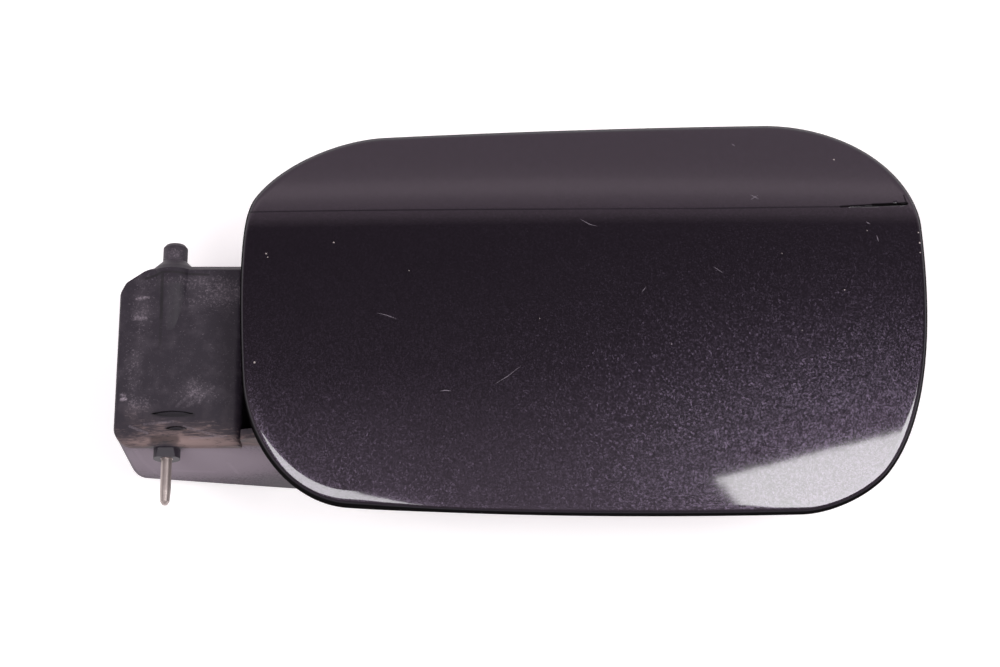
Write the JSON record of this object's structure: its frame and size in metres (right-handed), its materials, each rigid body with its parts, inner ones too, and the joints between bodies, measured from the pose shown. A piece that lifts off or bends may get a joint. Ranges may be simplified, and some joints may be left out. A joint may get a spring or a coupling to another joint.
{
  "type": "car fuel door",
  "caption": "Painted fuel door with a creased panel, ribbed carrier, moulded swan-neck hinge arm, sprung steel hinge pin, latch striker and rubber buffers.",
  "frame": {"origin": "on the hinge axis, at the end face of the boss that the steel pin comes out of", "axes": "+Z out of the panel's face, +X from the hinge to the free end, +Y along the hinge axis from the steel pin to the moulded stub"},
  "size_m": [0.2258, 0.1147, 0.0707],
  "materials": {
    "paint": "metallic clearcoat",
    "arm_plastic": "dusty moulded",
    "carrier_plastic": "moulded",
    "pin_steel": "turned",
    "spring_steel": "drawn wire",
    "screw_zinc": "zinc plated",
    "buffer_rubber": "matt"
  },
  "bodies": {
    "door": {"outer_panel": "paint", "inner_carrier": "carrier_plastic", "hinge_arm": "arm_plastic", "pin_spring": "spring_steel", "spring_plug": "carrier_plastic", "latch_striker": "carrier_plastic", "buffer_1": "buffer_rubber", "buffer_2": "buffer_rubber", "buffer_3": "buffer_rubber", "buffer_4": "buffer_rubber", "arm_screw_1": "screw_zinc", "arm_screw_2": "screw_zinc", "arm_screw_3": "screw_zinc", "arm_screw_4": "screw_zinc", "striker_screw_1": "screw_zinc", "striker_screw_2": "screw_zinc", "panel_screw_1": "screw_zinc", "panel_screw_2": "screw_zinc", "panel_screw_3": "screw_zinc", "panel_screw_4": "screw_zinc", "panel_screw_5": "screw_zinc", "panel_screw_6": "screw_zinc"},
    "pin": {"hinge_pin": "pin_steel"}
  },
  "joints": [
    {"name": "pin_slide", "type": "slide", "parent": "door", "child": "pin", "axis": [0, 1, 0], "range_m": [0, 0.0125], "stiffness_N_per_m": 500, "springref_m": -0.006, "deforming": ["pin_spring"]}
  ]
}
